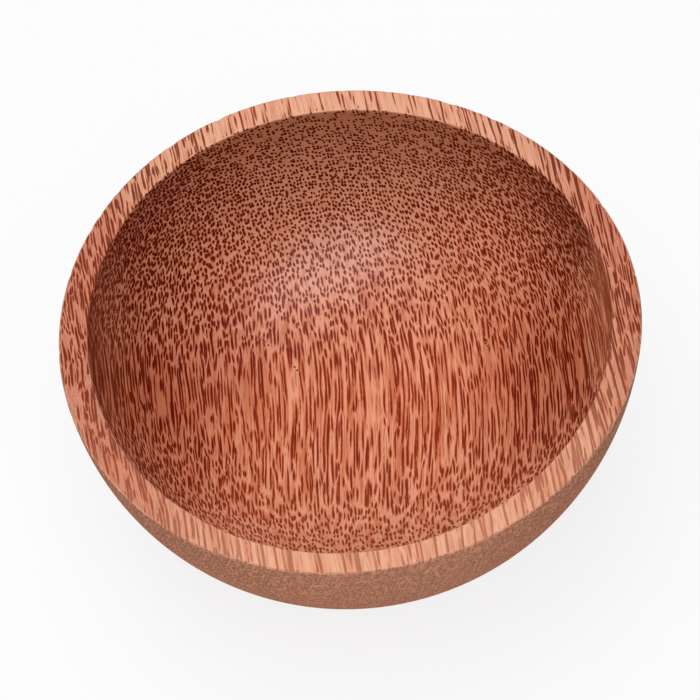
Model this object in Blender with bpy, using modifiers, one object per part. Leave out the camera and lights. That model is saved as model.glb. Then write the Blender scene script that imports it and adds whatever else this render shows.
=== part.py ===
"""A salad bowl turned from one block of palm wood.

Metres, +Z up. The origin is the centre of the flat base, so the bowl stands on the plane Z = 0.
The whole bowl is one profile, turned about Z: up the inside, across the rim, down the outside
and back to the middle along the base.
"""

import math

import bpy

# Driving dimensions, in metres
RIM_DIAMETER = 0.150
HEIGHT = 0.060
RIM_WIDTH = 0.007
INSIDE_DEPTH = 0.050

# The outside is one arc, nearly upright at the rim, that the flat base cuts off
OUTSIDE_ARC_RADIUS = 0.0813
OUTSIDE_LEAN_AT_RIM = math.radians(3.4)

# The inside is a superellipse: an exponent of 2 is an ellipse, and more gives a flatter bottom
INSIDE_EXPONENT = 2.3

# Edges that sanding has taken the sharpness off
RIM_EDGE_RADIUS = 0.0006
BASE_EDGE_RADIUS = 0.0012

# How finely the curves are divided
TURN_STEPS = 96
INSIDE_STEPS = 16
OUTSIDE_STEPS = 10
EDGE_STEPS = 3
MERGE_DISTANCE = 0.00001

# Finish: oiled palm wood
WOOD_COLOUR = (0.50, 0.23, 0.13, 1.0)
WOOD_ROUGHNESS = 0.5

# Worked out from the dimensions above
RIM_RADIUS = RIM_DIAMETER / 2
MOUTH_RADIUS = RIM_RADIUS - RIM_WIDTH
BASE_EDGE_LEAN = math.asin(
    (HEIGHT + OUTSIDE_ARC_RADIUS * math.sin(OUTSIDE_LEAN_AT_RIM) - BASE_EDGE_RADIUS)
    / (OUTSIDE_ARC_RADIUS - BASE_EDGE_RADIUS)
)


def clear_scene():
    """Takes away whatever the scene starts with."""
    for thing in list(bpy.data.objects):
        bpy.data.objects.remove(thing, do_unlink=True)


def inside_point(turn):
    """A point of the hollow: turn 0 is the middle of its floor, and a quarter circle is the mouth."""
    power = 2 / INSIDE_EXPONENT
    radius = MOUTH_RADIUS * math.sin(turn) ** power
    depth = INSIDE_DEPTH * math.cos(turn) ** power
    return radius, HEIGHT - depth


def outside_point(lean):
    """A point of the outer arc, given how far the wall leans in from upright there."""
    radius = RIM_RADIUS - OUTSIDE_ARC_RADIUS * (math.cos(OUTSIDE_LEAN_AT_RIM) - math.cos(lean))
    fall = OUTSIDE_ARC_RADIUS * (math.sin(lean) - math.sin(OUTSIDE_LEAN_AT_RIM))
    return radius, HEIGHT - fall


def lean_at(height):
    """How far the outer wall leans in at a height above the base."""
    fall = HEIGHT - height
    return math.asin(fall / OUTSIDE_ARC_RADIUS + math.sin(OUTSIDE_LEAN_AT_RIM))


def eased_edge(centre, radius, start, end):
    """Points of a small round, as the angle about its centre goes from start to end."""
    step = (end - start) / EDGE_STEPS
    angles = [start + step * i for i in range(EDGE_STEPS + 1)]
    return [(centre[0] + radius * math.cos(a), centre[1] + radius * math.sin(a)) for a in angles]


def inside_outline():
    """Up the hollow, from the middle of its floor to just under the rim's inner edge."""
    top_turn = math.acos((RIM_EDGE_RADIUS / INSIDE_DEPTH) ** (INSIDE_EXPONENT / 2))
    turns = [top_turn * i / INSIDE_STEPS for i in range(INSIDE_STEPS)]
    return [inside_point(turn) for turn in turns]


def rim_outline():
    """Over the rim: its inner edge, its flat top and its outer edge."""
    edge_z = HEIGHT - RIM_EDGE_RADIUS
    inner = (MOUTH_RADIUS + RIM_EDGE_RADIUS, edge_z)
    outer = (RIM_RADIUS - RIM_EDGE_RADIUS, edge_z)
    quarter = math.pi / 2
    return (eased_edge(inner, RIM_EDGE_RADIUS, 2 * quarter, quarter)
            + eased_edge(outer, RIM_EDGE_RADIUS, quarter, 0))


def outside_outline():
    """Down the outside to where the eased edge of the base begins."""
    first = lean_at(HEIGHT - RIM_EDGE_RADIUS)
    leans = [first + (BASE_EDGE_LEAN - first) * i / OUTSIDE_STEPS for i in range(1, OUTSIDE_STEPS)]
    return [outside_point(lean) for lean in leans]


def base_outline():
    """Round the edge of the base, which touches both wall and base, and along it to the middle."""
    wall_radius = outside_point(BASE_EDGE_LEAN)[0]
    centre = (wall_radius - BASE_EDGE_RADIUS * math.cos(BASE_EDGE_LEAN), BASE_EDGE_RADIUS)
    return eased_edge(centre, BASE_EDGE_RADIUS, -BASE_EDGE_LEAN, -math.pi / 2) + [(0.0, 0.0)]


def bowl_outline():
    """The whole profile, as (radius, height)."""
    return inside_outline() + rim_outline() + outside_outline() + base_outline()


def turned(name, outline, collection):
    """Adds an object with an outline turned about Z."""
    mesh = bpy.data.meshes.new(name)
    points = [(radius, 0.0, height) for radius, height in outline]
    mesh.from_pydata(points, [(i, i + 1) for i in range(len(points) - 1)], [])
    thing = bpy.data.objects.new(name, mesh)
    collection.objects.link(thing)
    screw = thing.modifiers.new("Turned", "SCREW")
    screw.axis = "Z"
    screw.angle = 2 * math.pi
    screw.steps = TURN_STEPS
    screw.render_steps = TURN_STEPS
    screw.use_merge_vertices = True
    screw.merge_threshold = MERGE_DISTANCE
    screw.use_smooth_shade = True
    return thing


def palm_wood():
    """A satin, reddish brown wood."""
    material = bpy.data.materials.new("palm_wood")
    material.use_nodes = True
    shader = material.node_tree.nodes["Principled BSDF"]
    shader.inputs["Base Color"].default_value = WOOD_COLOUR
    shader.inputs["Roughness"].default_value = WOOD_ROUGHNESS
    shader.inputs["Metallic"].default_value = 0.0
    return material


def build():
    """Makes the bowl."""
    clear_scene()
    collection = bpy.data.collections.new("wooden_salad_bowl")
    bpy.context.scene.collection.children.link(collection)
    bowl = turned("bowl", bowl_outline(), collection)
    bowl.data.materials.append(palm_wood())


build()
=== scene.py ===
"""The looks of the palm-wood salad bowl: its turned surface, the wood, the floor, the light, the camera."""

import math
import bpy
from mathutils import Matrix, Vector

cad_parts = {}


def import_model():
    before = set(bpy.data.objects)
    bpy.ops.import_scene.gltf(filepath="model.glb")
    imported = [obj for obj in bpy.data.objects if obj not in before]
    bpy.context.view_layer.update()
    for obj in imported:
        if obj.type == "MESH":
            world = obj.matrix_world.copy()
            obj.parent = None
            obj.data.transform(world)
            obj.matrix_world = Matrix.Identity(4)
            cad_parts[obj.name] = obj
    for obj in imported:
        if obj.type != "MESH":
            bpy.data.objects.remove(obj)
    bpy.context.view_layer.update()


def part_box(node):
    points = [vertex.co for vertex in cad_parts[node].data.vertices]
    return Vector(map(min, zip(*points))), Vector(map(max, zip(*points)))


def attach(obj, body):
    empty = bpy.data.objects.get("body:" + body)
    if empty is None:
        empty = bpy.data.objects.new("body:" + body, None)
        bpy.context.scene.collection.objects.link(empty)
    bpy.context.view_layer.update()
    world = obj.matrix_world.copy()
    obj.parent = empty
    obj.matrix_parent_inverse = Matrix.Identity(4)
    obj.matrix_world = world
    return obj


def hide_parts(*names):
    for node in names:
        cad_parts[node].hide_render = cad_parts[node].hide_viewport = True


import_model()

from types import SimpleNamespace

import bpy
import numpy as np
from mathutils import Matrix, Vector, noise

# Sizes that the frame gives, in metres
BOWL_LOW, BOWL_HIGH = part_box("bowl")
HEIGHT = BOWL_HIGH.z
RIM_RADIUS = (BOWL_HIGH.x - BOWL_LOW.x) / 2

# The profile, as in the CAD
RIM_WIDTH = 0.007
INSIDE_DEPTH = 0.050
OUTSIDE_ARC_RADIUS = 0.0813
OUTSIDE_LEAN_AT_RIM = math.radians(3.4)
INSIDE_EXPONENT = 2.3
RIM_EDGE_RADIUS = 0.0006
BASE_EDGE_RADIUS = 0.0012
MOUTH_RADIUS = RIM_RADIUS - RIM_WIDTH
BASE_EDGE_LEAN = math.asin(
    (HEIGHT + OUTSIDE_ARC_RADIUS * math.sin(OUTSIDE_LEAN_AT_RIM) - BASE_EDGE_RADIUS)
    / (OUTSIDE_ARC_RADIUS - BASE_EDGE_RADIUS)
)

# How finely the surface is divided
TURN_STEPS = 512
FULL_STEPS_RADIUS = 0.034
LEAST_STEPS = 16
INSIDE_RINGS = 84
RIM_RINGS = 8
EDGE_RINGS = 4
OUTSIDE_RINGS = 64
BASE_RINGS = 22

# How far the outlines are out of round
# For a number of waves round the rim: their cosine and sine parts, as shares of the radius
OUTER_WAVES = {3: (0.0052, -0.0026)}
INNER_WAVES = {2: (-0.0078, 0.0009), 3: (0.0054, 0.0024)}

# Small chips along the rim's outer edge
CHIP_DEPTH = 0.0005
CHIP_LENGTH = 0.0022
CHIP_LEVEL = 0.12
CHIP_REACH = 0.0014

# The camera, from the photograph: 700 x 700 pixels
IMAGE_SIDE = 700
RIM_CENTRE_PIXEL = (347.6, 322.4)
RIM_RADIUS_PIXELS = 292.05
RIM_RADIUS_OVER_DISTANCE = 0.07
CAMERA_ELEVATION = math.radians(55.64)
CAMERA_ROLL = math.radians(-6.3)
CAMERA_DISTANCE = RIM_RADIUS / RIM_RADIUS_OVER_DISTANCE
SENSOR_WIDTH = 36.0
CLIP_END = 100


# The bowl's surface

def inside_point(turn):
    """A point of the hollow: turn 0 is the middle of its floor, and a quarter circle is the mouth."""
    power = 2 / INSIDE_EXPONENT
    radius = MOUTH_RADIUS * math.sin(turn) ** power
    return radius, HEIGHT - INSIDE_DEPTH * math.cos(turn) ** power


def outside_point(lean):
    """A point of the outer arc, given how far the wall leans in from upright there."""
    radius = RIM_RADIUS - OUTSIDE_ARC_RADIUS * (math.cos(OUTSIDE_LEAN_AT_RIM) - math.cos(lean))
    fall = OUTSIDE_ARC_RADIUS * (math.sin(lean) - math.sin(OUTSIDE_LEAN_AT_RIM))
    return radius, HEIGHT - fall


def eased_edge(centre, radius, start, end):
    """Points of a small round, as the angle about its centre goes from start to end."""
    angles = np.linspace(start, end, EDGE_RINGS + 1)
    return [(centre[0] + radius * math.cos(a), centre[1] + radius * math.sin(a)) for a in angles]


def rim_profile():
    """Over the rim: its inner edge, its flat top and its outer edge."""
    quarter = math.pi / 2
    edge_z = HEIGHT - RIM_EDGE_RADIUS
    inner_centre = (MOUTH_RADIUS + RIM_EDGE_RADIUS, edge_z)
    outer_centre = (RIM_RADIUS - RIM_EDGE_RADIUS, edge_z)
    inner_edge = eased_edge(inner_centre, RIM_EDGE_RADIUS, 2 * quarter, quarter)
    outer_edge = eased_edge(outer_centre, RIM_EDGE_RADIUS, quarter, 0)
    top = [(r, HEIGHT) for r in np.linspace(inner_edge[-1][0], outer_edge[0][0], RIM_RINGS + 1)[1:-1]]
    return inner_edge + top + outer_edge


def outside_profile():
    """Down the outside, round the edge of the base and along it to the middle."""
    first_lean = math.asin(RIM_EDGE_RADIUS / OUTSIDE_ARC_RADIUS + math.sin(OUTSIDE_LEAN_AT_RIM))
    wall = [outside_point(a) for a in np.linspace(first_lean, BASE_EDGE_LEAN, OUTSIDE_RINGS)[1:-1]]
    wall_radius = outside_point(BASE_EDGE_LEAN)[0]
    edge_centre = (wall_radius - BASE_EDGE_RADIUS * math.cos(BASE_EDGE_LEAN), BASE_EDGE_RADIUS)
    base_edge = eased_edge(edge_centre, BASE_EDGE_RADIUS, -BASE_EDGE_LEAN, -math.pi / 2)
    base = [(r, 0.0) for r in np.linspace(base_edge[-1][0], 0, BASE_RINGS)[1:]]
    return wall + base_edge + base


def profile():
    """Rings from the middle of the floor, over the rim, to the middle of the base.

    Each is (radius, height, outer): outer goes from 0 on the inside to 1 on the outside.
    """
    top_turn = math.acos((RIM_EDGE_RADIUS / INSIDE_DEPTH) ** (INSIDE_EXPONENT / 2))
    inside = [inside_point(t) for t in np.linspace(0, top_turn, INSIDE_RINGS)[:-1]]
    return ([(r, z, 0.0) for r, z in inside]
            + [(r, z, (r - MOUTH_RADIUS) / RIM_WIDTH) for r, z in rim_profile()]
            + [(r, z, 1.0) for r, z in outside_profile()])


def ring_steps(radius):
    """How many points a ring has: half as many each time its radius halves."""
    steps = TURN_STEPS
    limit = FULL_STEPS_RADIUS
    while radius < limit and steps > LEAST_STEPS:
        steps //= 2
        limit /= 2
    return steps


def waves(turn, sizes):
    """The sum of some waves round the rim."""
    return sum(even * math.cos(count * turn) + odd * math.sin(count * turn)
               for count, (even, odd) in sizes.items())


def chip(turn, radius, height):
    """How far the rim's outer edge is worn away at a point."""
    gap = math.hypot(RIM_RADIUS - radius, HEIGHT - height)
    if gap > CHIP_REACH:
        return 0.0
    place = Vector((math.cos(turn), math.sin(turn), 0)) * (RIM_RADIUS / CHIP_LENGTH)
    worn = max(0.0, noise.noise(place) - CHIP_LEVEL)
    return CHIP_DEPTH * worn * (1 - gap / CHIP_REACH)


def surface_point(turn, radius, height, outer):
    """A point of the finished surface: the turned point, out of round, with the rim's edge chipped."""
    fade = height / HEIGHT
    out = outer * waves(turn, OUTER_WAVES) + (1 - outer) * waves(turn, INNER_WAVES)
    worn = chip(turn, radius, height)
    grown = radius * (1 + fade * out) - worn
    return grown * math.cos(turn), grown * math.sin(turn), height - worn


def joined(near, far):
    """Faces between two rings: quads, or triangles where one is a point or has half the other's points."""
    if len(near) > len(far):
        return [face[::-1] for face in joined(far, near)]
    next_near = [*near[1:], near[0]]
    next_far = [*far[1:], far[0]]
    if len(near) == len(far):
        return list(zip(near, far, next_far, next_near))
    if len(near) == 1:
        return [(near[0], *pair) for pair in zip(far, next_far)]
    faces = []
    for here, there, start, middle, end in zip(near, next_near, far[::2], far[1::2], next_far[1::2]):
        faces += [(here, start, middle), (here, middle, there), (there, middle, end)]
    return faces


def bowl_mesh():
    """The whole bowl as one closed mesh, with fewer points to a ring towards the axis."""
    points, rings, faces = [], [], []
    for radius, height, outer in profile():
        steps = ring_steps(radius) if radius > 0 else 1
        rings.append(range(len(points), len(points) + steps))
        points += [surface_point(2 * math.pi * i / steps, radius, height, outer) for i in range(steps)]
    for near, far in zip(rings, rings[1:]):
        faces += joined(near, far)
    mesh = bpy.data.meshes.new("bowl_wood")
    mesh.from_pydata(points, [], faces)
    mesh.shade_smooth()
    return mesh


# Formulas as nodes

class NodeNet:
    """The nodes of a material or a world. Most methods add one and return its output, so formulas nest."""

    def __init__(self, owner):
        self.tree = owner.node_tree

    def node(self, kind, **settings):
        made = self.tree.nodes.new(kind)
        for name, value in settings.items():
            setattr(made, name, value)
        return made

    def feed(self, socket, value):
        """Links an output to a socket, or sets a plain value on it."""
        if isinstance(value, bpy.types.NodeSocket):
            self.tree.links.new(value, socket)
        else:
            socket.default_value = value

    def math(self, operation, *values, clamp=False):
        made = self.node("ShaderNodeMath", operation=operation, use_clamp=clamp)
        for socket, value in zip(made.inputs, values):
            self.feed(socket, value)
        return made.outputs[0]

    def times(self, first, *others):
        """The product of two or more values."""
        product = first
        for other in others:
            product = self.math("MULTIPLY", product, other)
        return product

    def vector(self, operation, a, b=(0, 0, 0)):
        made = self.node("ShaderNodeVectorMath", operation=operation)
        self.feed(made.inputs[0], a)
        if operation == "SCALE":
            self.feed(made.inputs["Scale"], b)
        else:
            self.feed(made.inputs[1], b)
        return made.outputs["Value"] if operation in ("LENGTH", "DOT_PRODUCT") else made.outputs[0]

    def split(self, value):
        made = self.node("ShaderNodeSeparateXYZ")
        self.feed(made.inputs[0], value)
        return made.outputs

    def combine(self, x, y, z):
        made = self.node("ShaderNodeCombineXYZ")
        for socket, value in zip(made.inputs, (x, y, z)):
            self.feed(socket, value)
        return made.outputs[0]

    def turned(self, value, axis, angle):
        made = self.node("ShaderNodeVectorRotate", rotation_type=axis)
        self.feed(made.inputs["Vector"], value)
        self.feed(made.inputs["Angle"], angle)
        return made.outputs[0]

    def noise(self, place, scale, detail=2.0, roughness=0.5):
        """Smooth noise: output 0 is one number, and Color is three."""
        made = self.node("ShaderNodeTexNoise")
        self.feed(made.inputs["Vector"], place)
        made.inputs["Scale"].default_value = scale
        made.inputs["Detail"].default_value = detail
        made.inputs["Roughness"].default_value = roughness
        return made.outputs

    def step(self, value, low, high):
        """0 below low and 1 above high, smooth between; falling if high is below low."""
        made = self.node("ShaderNodeMapRange", interpolation_type="SMOOTHSTEP")
        for name, given in (("Value", value), ("From Min", low), ("From Max", high)):
            self.feed(made.inputs[name], given)
        return made.outputs[0]

    def ranged(self, value, low, high, new_low, new_high):
        """Goes straight from new_low to new_high as the value goes from low to high, and stays there."""
        made = self.node("ShaderNodeMapRange")
        given = (value, low, high, new_low, new_high)
        for name, one in zip(("Value", "From Min", "From Max", "To Min", "To Max"), given):
            self.feed(made.inputs[name], one)
        return made.outputs[0]

    def blend(self, share, none, full):
        """The number none where the share is 0, full where it is 1."""
        return self.ranged(share, 0, 1, none, full)

    def mix(self, share, none, full):
        """The colour none where the share is 0, full where it is 1."""
        made = self.node("ShaderNodeMix", data_type="RGBA")
        self.feed(made.inputs["Factor"], share)
        self.feed(made.inputs["A"], none)
        self.feed(made.inputs["B"], full)
        return made.outputs["Result"]


# Colours of the wood, as linear red, green and blue
GROUND = (0.80, 0.345, 0.210, 1)
GROUND_RED = (0.59, 0.166, 0.074, 1)
GROUND_END = (0.50, 0.234, 0.142, 1)
GROUND_HIGH = (0.50, 0.230, 0.112, 1)
# Painted shade: the darker ground of the side walls
GROUND_SIDE_SHADE = (0.42, 0.148, 0.086, 1)
# Painted light: the pale colour of the painted haze on the walls under the rim
GROUND_PAINTED_HAZE = (0.92, 0.450, 0.280, 1)
RIM_PALE = (0.82, 0.420, 0.272, 1)
RIM_RED = (0.72, 0.328, 0.195, 1)
RIM_SIDE = (0.54, 0.190, 0.124, 1)
HALO = (0.56, 0.140, 0.055, 1)
BUNDLE_RED = (0.34, 0.045, 0.014, 1)
BUNDLE_ALONG = (0.160, 0.012, 0.0040, 1)
BUNDLE_END = (0.073, 0.0014, 0.0001, 1)
FINE_FIBRE = (0.36, 0.085, 0.035, 1)
PORE = (0.060, 0.012, 0.004, 1)
PORE_RING = (0.80, 0.36, 0.22, 1)
DULL = (0.81, 0.372, 0.237, 1)
DULL_DARK = (0.22, 0.080, 0.047, 1)

# Which way the fibres run: along Y, turned a little and rising, with a bend in the near half
FIBRE_TURN_LOW = math.radians(-3.5)
FIBRE_TURN_HIGH = math.radians(4.5)
FIBRE_RISE = math.radians(3.0)
SIDE_RISE = math.radians(9.0)
SIDE_CROWDING = 0.15
NEAR_BEND = 0.0008
NEAR_BEND_LENGTH = 0.018
DRIFT = 0.0050
DRIFT_LENGTH = 0.070

# Zones of the bowl, each from where it starts to where it is full
# Heights and Y are in metres, ASIDE is a share of the rim's radius, LEVELS the normal's upward part
RIM_HEIGHTS = (HEIGHT - 2 * RIM_EDGE_RADIUS, HEIGHT - RIM_EDGE_RADIUS / 2)
RIM_LEVELS = (0.3, 0.9)
RIM_END_ASIDE = (0.62, 0.92)
RIM_END_MIDDLE = 0.06
RIM_END_MOST = 0.8
NEAR_RIM_Y = (0.010, -0.020)
FRONT_Y = (0.0, -0.8 * RIM_RADIUS)
SIDE_ASIDE = (0.20, 0.72)
MIDDLE_Y = (0.0, 0.030)
MIDDLE_ASIDE = (-0.02, 0.10)
HIGH_WALL_HEIGHTS = (0.038, 0.058)
# Where the painted haze lies: painted light on the right wall under the rim, and fainter on the left
RIGHT_WALL_ASIDE = (0.72, 0.88)
RIGHT_WALL_HEIGHTS = (0.028, 0.048)
RIGHT_WALL_NEAR_Y = (-0.030, -0.005)
RIGHT_WALL_FAR_Y = (0.028, 0.008)
LEFT_WALL_ASIDE = (-0.72, -0.86)
LEFT_WALL_HEIGHTS = (0.025, 0.045)
LEFT_PAINTED_HAZE_MOST = 0.4
OUTWARD = (0.015, 0.035)
DOWNWARD = (-0.2, -0.6)

# Bundles of fibre: lengths and heights in metres, the rest as shares
BUNDLE_SPACING = 0.00100
BUNDLE_RADIUS = 0.00033
BUNDLE_SIZES = (0.80, 1.18)  # the least and the most
BUNDLE_EDGE = (1.14, 0.84)  # from outside to inside, over the radius
BUNDLE_MIDDLE = (1.0, 0.45)
DISORDER = 0.64
FINE_SPACING = 0.00062
FINE_RADIUS = 0.00015
FINE_EDGE = (1.4, 0.6)
FINE_MISSING = 0.25
SWAY = 0.0009
SWAY_LENGTH = 0.012
SWAY_SPREAD = (61.0, 47.0)  # how far apart in the noise two bundles are
WANDER = 0.0037
WANDER_WIDTH = 0.0021
WANDER_LENGTH = 0.0170
WANDER_RATES = (0.86, 1.3)  # in the middle and at the sides
WANDER_AXES = (0.15, 0, 1)  # across, along and up
WANDER_END = 0.8
WANDER_ON_END = 0.1
CLUMP = 0.0018
CLUMP_LENGTH = 0.011
CLUMP_AXES = (1, 0.4, 1)
RAGGED = 0.3
RAGGED_WIDTH = 0.0005
RAGGED_DRAW = 0.3
SPARSE_FROM = 0.035
SPARSE_AT_RIM = 0.42
SPARSE_ON_NEAR_RIM = 0.30
SIDE_SWELL_HEIGHTS = (0.02, 0.05)
SIDE_SWELL = (0.18, 0.34)  # low and high on the wall
END_SWELL = 1.12
RIM_SWELL = (0.85, 1.05)  # far and near
FAR_GAP = 100.0  # where a bundle is missing

# Bundles along the grain, and on end grain, which counts as full at AT_END
AT_END = 0.7
BUNDLE_REDNESS = (0.5, 0.1)
HALO_REACH = (2.1, 1.4)
HALO_STRENGTH = (0.8, 0.15)
FINE_STRENGTH = (0.8, 0.2)

# How strongly the bundles show by zone
# Painted shade: how far the bundles at the sides darken towards the end-grain colour
SIDE_SHADE_DARKNESS = 0.75
HALO_EDGE = 0.95
RIM_FADE = (0.45, 0.8)  # near and far, and at the rim's left and right
FRONT_SHOWN = (0.78, 0.50)  # on the wall and on the rim
RIM_SHOWN = 0.86
# How faintly the bundles show under the painted haze
PAINTED_HAZE_SHOWN = 0.48

# The ground between the bundles: noise of a width in metres, drawn out along the grain
THREAD_WIDTH = 0.0009
THREAD_DRAW = 0.05
THREAD_LEVELS = (0.3, 0.7)
THREAD_STRENGTH = 0.45
STRIPE_WIDTH = 0.0021
STRIPE_DRAW = 0.08
STRIPE_SHARE = 0.72
PATCH_WIDTH = 0.011
PATCH_DRAW = 0.35
RED_LEVELS = (0.42, 0.70)
END_SHARE = 0.65
# Painted shade on the side walls: how far on end grain it fades out, and its share
SIDE_SHADE_END = 0.5
SIDE_SHADE_SHARE = 0.9
RIM_SHARE = 0.9

# Pairs of pores in a band across the bottom, in metres
PORE_SPACING = 0.0085
PORE_RADIUS = 0.00030
PORE_OFFSET = (0.00034, 0.00048, 0)
PORE_SHARE = 0.40
PORE_NEAR_Y = (0.013, 0.016)
PORE_FAR_Y = (0.029, 0.026)
PORE_HEIGHTS = (0.022, 0.018)
PORE_EDGE = (1.1, 0.8)
PORE_RING_EDGE = (2.6, 1.3)
PORE_RING_STRENGTH = 0.35

# The dull outside
MOTTLE_WIDTH = 0.0012
MOTTLE_AXES = (1, 1, 0.45)
MOTTLE_DETAIL = 3.0
MOTTLE_ROUGHNESS = 0.7
MOTTLE_LEVELS = (0.32, 0.70)
MOTTLE_STRENGTH = 0.44
DULL_BUNDLES = 0.62

# The thin film of oil on the inside and the rim, and the relief
OIL = 0.40
OIL_HEIGHTS = (0.024, 0.045)
OIL_ON_BUNDLES = (0.22, 0.07)  # low and high on the wall
OIL_ROUGHNESS = 0.34
WOOD_ROUGHNESS = 0.7
RELIEF = 0.0001
RELIEF_STRENGTH = 0.35
RELIEF_BUNDLES = -0.5
RELIEF_THREADS = 0.6
RELIEF_MOTTLE = 0.8


# The wood

def centred(net, place, scale, size):
    """A smooth random shift, as a vector, of less than half the size each way."""
    spread = net.vector("SUBTRACT", net.noise(place, scale, detail=1.0)["Color"], (0.5, 0.5, 0.5))
    return net.vector("SCALE", spread, size)


def drawn_out(net, grain, width, draw, detail=2.0):
    """Noise of a width across the grain, drawn out along it: draw is its width over its length."""
    return net.noise(net.vector("MULTIPLY", grain, (1, draw, 1)), 1 / width, detail=detail)[0]


def side_dip(net, along, aside):
    """How far the fibres at the sides have gone up or down along their length."""
    sideways = net.times(aside, net.math("ABSOLUTE", aside))
    return net.times(along, sideways, math.tan(SIDE_RISE))


def near_rise(net, along, aside):
    """How far the fibres bend up in the near half: round at first, then straight, and less at the sides."""
    nearer = net.math("DIVIDE", along, -NEAR_BEND_LENGTH)
    bent = net.math("MINIMUM", net.math("MAXIMUM", nearer, 0.0), 1.0)
    straight = net.times(net.math("SUBTRACT", net.math("MAXIMUM", nearer, 1.0), 1.0), 2.0)
    rise = net.times(net.math("ADD", net.times(bent, bent), straight), NEAR_BEND)
    return net.times(rise, net.math("SUBTRACT", 1.0, net.times(aside, aside), clamp=True))


def grain_axes(net, spot):
    """A place in the grain's own axes: (the place as across, along and up, how far aside it is)."""
    height = net.split(spot)["Z"]
    turn = net.ranged(height, HEIGHT - INSIDE_DEPTH, HEIGHT, -FIBRE_TURN_LOW, -FIBRE_TURN_HIGH)
    grain = net.turned(net.turned(spot, "Z_AXIS", turn), "X_AXIS", -FIBRE_RISE)
    grain = net.vector("ADD", grain, centred(net, grain, 1 / DRIFT_LENGTH, DRIFT))
    across, along, _ = net.split(grain)
    aside = net.math("DIVIDE", across, RIM_RADIUS)
    crowding = net.times(net.math("POWER", aside, 3.0), SIDE_CROWDING * RIM_RADIUS)
    dip = net.math("SUBTRACT", side_dip(net, along, aside), near_rise(net, along, aside))
    return net.vector("ADD", grain, net.combine(crowding, 0, dip)), aside


def outside_share(net, spot, normal):
    """1 on the outer wall and the base, 0 on the inside and the rim."""
    x, y, _ = net.split(spot)
    facing_x, facing_y, facing_z = net.split(normal)
    outward = net.math("ADD", net.times(facing_x, x), net.times(facing_y, y))
    return net.math("MAXIMUM", net.step(outward, *OUTWARD), net.step(facing_z, *DOWNWARD))


def painted_haze_walls(net, aside, y, height):
    """Painted light: a pale painted haze under the rim on the right wall, standing in for a reflection, and
    a milder painted lightening on the left wall.
    """
    right = net.times(net.step(aside, *RIGHT_WALL_ASIDE), net.step(height, *RIGHT_WALL_HEIGHTS),
                      net.step(y, *RIGHT_WALL_NEAR_Y), net.step(y, *RIGHT_WALL_FAR_Y))
    left = net.times(net.step(aside, *LEFT_WALL_ASIDE), net.step(height, *LEFT_WALL_HEIGHTS),
                     LEFT_PAINTED_HAZE_MOST)
    return net.math("MAXIMUM", right, left)


def zones(net, spot, normal, aside):
    """Where a place is: its height, and from 0 to 1 how far it is end grain and how far in each zone."""
    _, y, height = net.split(spot)
    fibre = (0, math.cos(FIBRE_RISE), math.sin(FIBRE_RISE))
    middle = net.ranged(y, *MIDDLE_Y, *MIDDLE_ASIDE)
    from_middle = net.math("ABSOLUTE", net.math("SUBTRACT", aside, middle))
    along_rim = net.math("ABSOLUTE", net.math("SUBTRACT", aside, RIM_END_MIDDLE))
    on_rim = net.times(net.step(height, *RIM_HEIGHTS), net.step(net.split(normal)["Z"], *RIM_LEVELS))
    return SimpleNamespace(
        height=height,
        end=net.math("ABSOLUTE", net.vector("DOT_PRODUCT", normal, fibre)),
        side=net.step(from_middle, *SIDE_ASIDE),
        on_rim=on_rim,
        near_rim=net.times(on_rim, net.step(y, *NEAR_RIM_Y)),
        rim_end=net.times(net.step(along_rim, *RIM_END_ASIDE), RIM_END_MOST),
        front=net.step(y, *FRONT_Y),
        painted_haze=painted_haze_walls(net, aside, y, height),
        outside=outside_share(net, spot, normal))


def cells(net, plane, spacing):
    """One point to a cell of a plane: (the place from the nearest point, its three random numbers)."""
    made = net.node("ShaderNodeTexVoronoi", voronoi_dimensions="2D", feature="F1")
    net.feed(made.inputs["Vector"], plane)
    made.inputs["Scale"].default_value = 1 / spacing
    made.inputs["Randomness"].default_value = DISORDER
    offset = net.vector("SUBTRACT", plane, made.outputs["Position"])
    return offset, net.split(made.outputs["Color"])


def bundles(net, place, spacing, radius, missing):
    """Rods along the grain, of which a share is missing: (distance over radius, a random tone for each)."""
    across, along, up = net.split(place)
    offset, (chance, size, tone) = cells(net, net.combine(across, up, 0), spacing)
    path = net.combine(net.math("DIVIDE", along, SWAY_LENGTH), net.times(chance, SWAY_SPREAD[0]),
                       net.times(size, SWAY_SPREAD[1]))
    offset = net.vector("SUBTRACT", offset, centred(net, path, 1.0, SWAY))
    distance = net.vector("LENGTH", net.vector("MULTIPLY", offset, (1, 1, 0)))
    gap = net.math("DIVIDE", distance, net.times(net.blend(size, *BUNDLE_SIZES), radius))
    return net.math("MULTIPLY_ADD", net.math("LESS_THAN", chance, missing), FAR_GAP, gap), tone


def wandering(net, grain, zone):
    """A place among bundles that wander in and out of a surface along them, and so make short streaks."""
    clumps = centred(net, net.vector("MULTIPLY", grain, CLUMP_AXES), 1 / CLUMP_LENGTH, CLUMP)
    rate = net.blend(zone.side, WANDER_RATES[0] / WANDER_LENGTH, WANDER_RATES[1] / WANDER_LENGTH)
    finely = net.vector("MULTIPLY", grain, net.combine(1 / WANDER_WIDTH, rate, 1 / WANDER_WIDTH))
    wander = net.vector("MULTIPLY", centred(net, finely, 1.0, WANDER), WANDER_AXES)
    wander = net.vector("SCALE", wander, net.ranged(zone.end, 0, WANDER_END, 1.0, WANDER_ON_END))
    return net.vector("ADD", net.vector("ADD", grain, clumps), wander)


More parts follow.
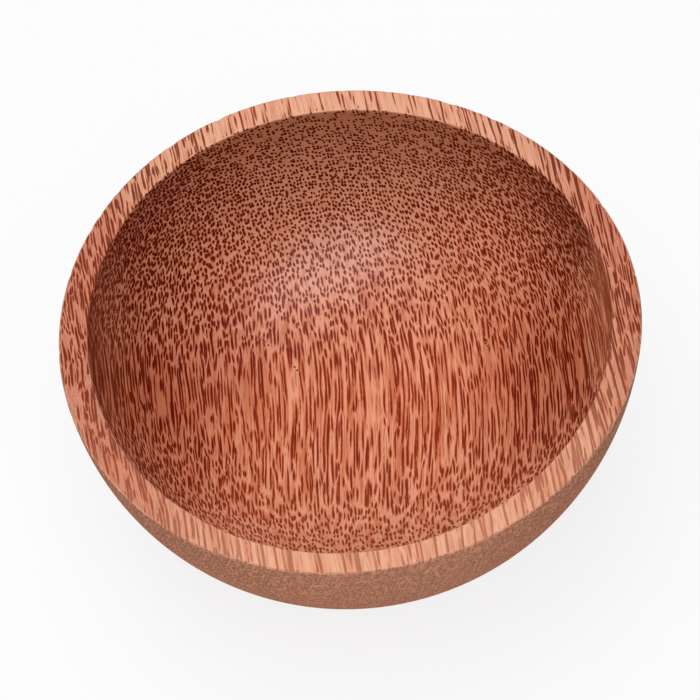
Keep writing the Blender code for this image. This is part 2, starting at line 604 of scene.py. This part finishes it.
def thick_bundles(net, place, grain, zone):
    """The dark bundles, with ragged edges: (distance over radius, a random tone for each)."""
    high = net.ranged(zone.height, SPARSE_FROM, HEIGHT, 0.0, SPARSE_AT_RIM)
    missing = net.times(high, net.blend(zone.side, 1.0, 0.0))
    missing = net.math("MAXIMUM", missing, net.times(zone.near_rim, SPARSE_ON_NEAR_RIM))
    side_swell = net.times(zone.side, net.ranged(zone.height, *SIDE_SWELL_HEIGHTS, *SIDE_SWELL))
    swell = net.math("ADD", side_swell, net.blend(zone.end, 1.0, END_SWELL))
    rim_swell = net.blend(zone.on_rim, 1.0, net.blend(zone.near_rim, *RIM_SWELL))
    gap, tone = bundles(net, place, BUNDLE_SPACING, net.times(swell, rim_swell, BUNDLE_RADIUS), missing)
    ragged = drawn_out(net, grain, RAGGED_WIDTH, RAGGED_DRAW, detail=1.0)
    return net.math("ADD", gap, net.blend(ragged, -RAGGED, RAGGED)), tone


def bundle_colour(net, marks, zone):
    """The colour of the thick bundles: nearly black on end grain, redder along it and at their edges, and
    darkened at the sides by painted shade.
    """
    darkness = net.math("MAXIMUM", zone.end, net.times(zone.side, SIDE_SHADE_DARKNESS))
    redness = net.times(marks.tone, net.ranged(darkness, 0, AT_END, *BUNDLE_REDNESS))
    dark = net.mix(redness, net.mix(darkness, BUNDLE_ALONG, BUNDLE_END), BUNDLE_RED)
    middle = net.math("MAXIMUM", net.step(marks.gap, *BUNDLE_MIDDLE), darkness)
    return net.mix(middle, BUNDLE_RED, dark)


def ground_colour(net, marks, zone):
    """The ground between the bundles: striped with red, browner on end grain, darker at the sides by
    painted shade, and pale on the walls under the rim by painted haze.
    """
    stripes = drawn_out(net, marks.grain, STRIPE_WIDTH, STRIPE_DRAW)
    patches = drawn_out(net, marks.grain, PATCH_WIDTH, PATCH_DRAW)
    streaky = net.math("ADD", net.times(stripes, STRIPE_SHARE), net.times(patches, 1 - STRIPE_SHARE))
    thread = net.ranged(marks.threads, *THREAD_LEVELS, -THREAD_STRENGTH, THREAD_STRENGTH)
    redness = net.math("ADD", net.step(streaky, *RED_LEVELS), thread, clamp=True)
    end_ground = net.mix(net.step(zone.height, *HIGH_WALL_HEIGHTS), GROUND_END, GROUND_HIGH)
    ground = net.mix(net.times(zone.end, END_SHARE), net.mix(redness, GROUND, GROUND_RED), end_ground)
    # Painted shade on the side walls, less on end grain and lifted under the painted haze
    side_shade = net.ranged(zone.end, 0, SIDE_SHADE_END, SIDE_SHADE_SHARE, 0.0)
    side_shade = net.times(zone.side, net.math("SUBTRACT", side_shade, zone.painted_haze, clamp=True))
    # Painted haze: the ground turns pale on the walls under the rim, standing in for a reflection
    ground = net.mix(zone.painted_haze, net.mix(side_shade, ground, GROUND_SIDE_SHADE), GROUND_PAINTED_HAZE)
    rim_ground = net.mix(zone.rim_end, net.mix(redness, RIM_PALE, RIM_RED), RIM_SIDE)
    return net.mix(net.times(zone.on_rim, RIM_SHARE), ground, rim_ground)


def fibred(net, ground, marks, zone):
    """The ground with its fine fibres and a red halo about each thick bundle, both fainter on the rim."""
    fine_gap, _ = bundles(net, marks.place, FINE_SPACING, FINE_RADIUS, FINE_MISSING)
    fine = net.times(net.step(fine_gap, *FINE_EDGE), net.ranged(zone.end, 0, AT_END, *FINE_STRENGTH))
    reach = net.ranged(zone.end, 0, AT_END, *HALO_REACH)
    halo = net.times(net.step(marks.gap, reach, HALO_EDGE), net.ranged(zone.end, 0, AT_END, *HALO_STRENGTH))
    rim_fade = net.blend(zone.on_rim, 1.0, net.ranged(zone.rim_end, 0, RIM_END_MOST, *RIM_FADE))
    ground = net.mix(net.times(fine, rim_fade), ground, FINE_FIBRE)
    return net.mix(net.times(halo, rim_fade), ground, HALO)


def pores(net, grain, spot):
    """Pairs of tiny holes in a band across the bottom: (the holes, the pale ring about them)."""
    across, along, _ = net.split(grain)
    offset, (chance, size, _) = cells(net, net.combine(across, along, 0), PORE_SPACING)
    x, y, _ = net.split(offset)
    leaning = net.math("SIGN", net.math("SUBTRACT", size, 0.5))
    offset = net.combine(net.times(x, leaning), y, 0)
    one = net.vector("LENGTH", net.vector("SUBTRACT", offset, PORE_OFFSET))
    other = net.vector("LENGTH", net.vector("ADD", offset, PORE_OFFSET))
    gap = net.math("DIVIDE", net.math("MINIMUM", one, other), PORE_RADIUS)
    _, spot_y, height = net.split(spot)
    band = net.times(net.step(spot_y, *PORE_NEAR_Y), net.step(spot_y, *PORE_FAR_Y),
                     net.step(height, *PORE_HEIGHTS))
    there = net.times(net.math("LESS_THAN", chance, PORE_SHARE), band)
    return net.times(there, net.step(gap, *PORE_EDGE)), net.times(there, net.step(gap, *PORE_RING_EDGE))


def shown_share(net, core, zone):
    """How strongly the thick bundles show: less in front, on the rim and under the painted haze on the
    walls.
    """
    in_front = net.blend(zone.front, 1.0, net.blend(zone.on_rim, *FRONT_SHOWN))
    haze_shown = net.blend(zone.painted_haze, 1.0, PAINTED_HAZE_SHOWN)
    return net.times(core, in_front, net.blend(zone.on_rim, haze_shown, RIM_SHOWN))


def wood_marks(net, grain, spot, zone):
    """What the wood is marked with: thick bundles, threads, pores and the mottle of its dull side."""
    place = wandering(net, grain, zone)
    gap, tone = thick_bundles(net, place, grain, zone)
    holes, rings = pores(net, grain, spot)
    mottle = net.noise(net.vector("MULTIPLY", grain, MOTTLE_AXES), 1 / MOTTLE_WIDTH,
                       detail=MOTTLE_DETAIL, roughness=MOTTLE_ROUGHNESS)[0]
    return SimpleNamespace(
        grain=grain,
        place=place,
        gap=gap,
        tone=tone,
        core=net.step(gap, *BUNDLE_EDGE),
        threads=drawn_out(net, grain, THREAD_WIDTH, THREAD_DRAW),
        holes=holes,
        rings=rings,
        mottle=net.step(mottle, *MOTTLE_LEVELS))


def polished_colour(net, marks, zone):
    """The polished wood of the inside and the rim."""
    ground = fibred(net, ground_colour(net, marks, zone), marks, zone)
    polished = net.mix(shown_share(net, marks.core, zone), ground, bundle_colour(net, marks, zone))
    polished = net.mix(net.times(marks.rings, PORE_RING_STRENGTH), polished, PORE_RING)
    return net.mix(marks.holes, polished, PORE)


def dull_colour(net, marks):
    """The dull wood of the outside, with the bundles half hidden."""
    bundled = net.times(marks.core, DULL_BUNDLES)
    return net.mix(net.math("MAXIMUM", bundled, net.times(marks.mottle, MOTTLE_STRENGTH)), DULL, DULL_DARK)


def oil_film(net, marks, zone):
    """How much oil there is: less on the bundles, and none outside."""
    on_bundles = net.ranged(zone.height, *OIL_HEIGHTS, *OIL_ON_BUNDLES)
    film = net.blend(net.math("MAXIMUM", marks.core, marks.holes), OIL, on_bundles)
    return net.times(film, net.blend(zone.outside, 1.0, 0.0))


def relief(net, marks, zone):
    """The fine relief of the grain, as a normal."""
    made = net.node("ShaderNodeBump")
    made.inputs["Strength"].default_value = RELIEF_STRENGTH
    made.inputs["Distance"].default_value = RELIEF
    bumps = net.math("ADD", net.times(marks.core, RELIEF_BUNDLES), net.times(marks.threads, RELIEF_THREADS))
    bumps = net.math("SUBTRACT", bumps, net.times(marks.mottle, zone.outside, RELIEF_MOTTLE))
    net.feed(made.inputs["Height"], bumps)
    return made.outputs[0]


def palm_wood():
    """Palm wood: a pale ground with dark bundles, which show as dots on end grain and streaks along it."""
    material = bpy.data.materials.new("palm_wood")
    material.use_nodes = True
    net = NodeNet(material)
    coordinates = net.node("ShaderNodeTexCoord").outputs
    spot, normal = coordinates["Object"], coordinates["Normal"]
    grain, aside = grain_axes(net, spot)
    zone = zones(net, spot, normal, aside)
    marks = wood_marks(net, grain, spot, zone)
    shader = net.tree.nodes["Principled BSDF"].inputs
    colour = net.mix(zone.outside, polished_colour(net, marks, zone), dull_colour(net, marks))
    net.feed(shader["Base Color"], colour)
    net.feed(shader["Coat Weight"], oil_film(net, marks, zone))
    net.feed(shader["Normal"], relief(net, marks, zone))
    shader["Coat Roughness"].default_value = OIL_ROUGHNESS
    shader["Roughness"].default_value = WOOD_ROUGHNESS
    shader["Specular IOR Level"].default_value = 0.0
    return material


def bowl():
    """The visible bowl, in place of the CAD one."""
    piece = bpy.data.objects.new("bowl_wood", bowl_mesh())
    bpy.context.scene.collection.objects.link(piece)
    piece.data.materials.append(palm_wood())
    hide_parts("bowl")
    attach(piece, "root")


# The studio, in metres and watts
FLOOR_HALF = 6.0
FLOOR_DROP = 0.0002
FLOOR_COLOUR = (0.88, 0.88, 0.88, 1)
FLOOR_ROUGHNESS = 0.9
FLOOR_GLOW = 0.84
GLOW_START = 0.15
GLOW_END = 1.2
WORLD_LIGHT = 0.03
SKY_IN_OIL = 0.32
WHITE = (1, 1, 1)
GLEAM_COLOUR = (0.84, 0.92, 1.0)
LAMP_DISTANCE = 1.2


def floor():
    """A plain pale floor, lifted towards white for the camera, and fully so away from the bowl."""
    mesh = bpy.data.meshes.new("floor")
    signs = [(-1, -1), (1, -1), (1, 1), (-1, 1)]
    corners = [(x * FLOOR_HALF, y * FLOOR_HALF, 0) for x, y in signs]
    mesh.from_pydata(corners, [], [(0, 1, 2, 3)])
    piece = bpy.data.objects.new("floor", mesh)
    piece.location.z = -FLOOR_DROP
    bpy.context.scene.collection.objects.link(piece)
    material = bpy.data.materials.new("floor")
    material.use_nodes = True
    net = NodeNet(material)
    shader = net.tree.nodes["Principled BSDF"]
    shader.inputs["Base Color"].default_value = FLOOR_COLOUR
    shader.inputs["Roughness"].default_value = FLOOR_ROUGHNESS
    shader.inputs["Specular IOR Level"].default_value = 0.0
    white = net.node("ShaderNodeEmission")
    away = net.vector("LENGTH", net.node("ShaderNodeTexCoord").outputs["Object"])
    glow = net.ranged(away, GLOW_START, GLOW_END, FLOOR_GLOW, 1.0)
    lifted = net.node("ShaderNodeMixShader")
    net.feed(lifted.inputs[0], net.times(net.node("ShaderNodeLightPath").outputs["Is Camera Ray"], glow))
    net.feed(lifted.inputs[1], shader.outputs[0])
    net.feed(lifted.inputs[2], white.outputs[0])
    net.feed(net.tree.nodes["Material Output"].inputs["Surface"], lifted.outputs[0])
    mesh.materials.append(material)


def world():
    """A dim even sky, which the camera sees as white and the film of oil as grey."""
    sky = bpy.data.worlds.new("studio")
    bpy.context.scene.world = sky
    sky.use_nodes = True
    net = NodeNet(sky)
    rays = net.node("ShaderNodeLightPath").outputs
    seen = net.math("MAXIMUM", rays["Is Camera Ray"], net.times(rays["Is Glossy Ray"], SKY_IN_OIL))
    background = net.tree.nodes["Background"]
    background.inputs["Color"].default_value = (*WHITE, 1)
    net.feed(background.inputs["Strength"], net.blend(seen, WORLD_LIGHT, 1.0))


def softbox(name, azimuth, elevation, wide, high, power, gleam=False, roll=0.0, colour=WHITE):
    """A lamp that faces the bowl from a direction: azimuth 0 is the camera's side, 90 its right.

    Angles are in degrees, and roll turns it about its own axis. It lights the surfaces, or with gleam
    shows only in their gloss.
    """
    around, above = math.radians(azimuth), math.radians(elevation)
    level = Vector((math.sin(around), -math.cos(around), 0))
    out = level * math.cos(above) + Vector((0, 0, math.sin(above)))
    data = bpy.data.lights.new(name, "AREA")
    data.shape = "RECTANGLE"
    data.size = wide
    data.size_y = high
    data.energy = power
    data.color = colour
    lamp = bpy.data.objects.new(name, data)
    lamp.location = Vector((0, 0, HEIGHT)) + out * LAMP_DISTANCE
    turn = out.to_track_quat("Z", "Y").to_matrix() @ Matrix.Rotation(math.radians(roll), 3, "Z")
    lamp.rotation_euler = turn.to_euler()
    lamp.visible_glossy = gleam
    lamp.visible_diffuse = not gleam
    bpy.context.scene.collection.objects.link(lamp)


def lamps():
    """Large soft lamps in front, above, behind and at both sides, and one that only gleams on the oil."""
    softbox("key", azimuth=2, elevation=56, wide=1.1, high=0.4, power=4.5)
    softbox("top", azimuth=270, elevation=84, wide=1.0, high=1.0, power=11.4)
    softbox("back", azimuth=185, elevation=42, wide=0.8, high=0.6, power=2.4)
    softbox("left", azimuth=270, elevation=28, wide=0.6, high=0.4, power=0.8)
    softbox("right", azimuth=90, elevation=28, wide=0.6, high=0.4, power=0.5)
    softbox("gleam", azimuth=10, elevation=66, wide=1.2, high=0.5, power=17.5,
            gleam=True, roll=25, colour=GLEAM_COLOUR)


def camera():
    """The photograph's camera: where its rim centre, size, tilt and roll put it."""
    focus = Vector((0, 0, HEIGHT))
    out = Vector((0, -math.cos(CAMERA_ELEVATION), math.sin(CAMERA_ELEVATION)))
    up = Vector((0, math.sin(CAMERA_ELEVATION), math.cos(CAMERA_ELEVATION)))
    right = Vector((1, 0, 0))
    # The picture's own axes, rolled against the bowl's
    picture_right = right * math.cos(CAMERA_ROLL) + up * math.sin(CAMERA_ROLL)
    picture_up = up * math.cos(CAMERA_ROLL) - right * math.sin(CAMERA_ROLL)
    pixel = RIM_RADIUS / RIM_RADIUS_PIXELS
    aside = (IMAGE_SIDE / 2 - RIM_CENTRE_PIXEL[0]) * pixel
    below = (IMAGE_SIDE / 2 - RIM_CENTRE_PIXEL[1]) * pixel
    place = focus + out * CAMERA_DISTANCE
    aim = focus + picture_right * aside - picture_up * below
    back = (place - aim).normalized()
    x_axis = picture_up.cross(back).normalized()
    y_axis = back.cross(x_axis)
    data = bpy.data.cameras.new("camera")
    data.sensor_width = SENSOR_WIDTH
    data.lens = SENSOR_WIDTH * RIM_RADIUS_PIXELS * CAMERA_DISTANCE / RIM_RADIUS / IMAGE_SIDE
    data.clip_end = CLIP_END
    eye = bpy.data.objects.new("camera", data)
    turn = Matrix((x_axis, y_axis, back)).transposed()
    eye.matrix_world = Matrix.Translation(place) @ turn.to_4x4()
    bpy.context.scene.collection.objects.link(eye)
    bpy.context.scene.camera = eye


bpy.context.scene.view_settings.view_transform = "Standard"
camera()
bowl()
floor()
world()
lamps()
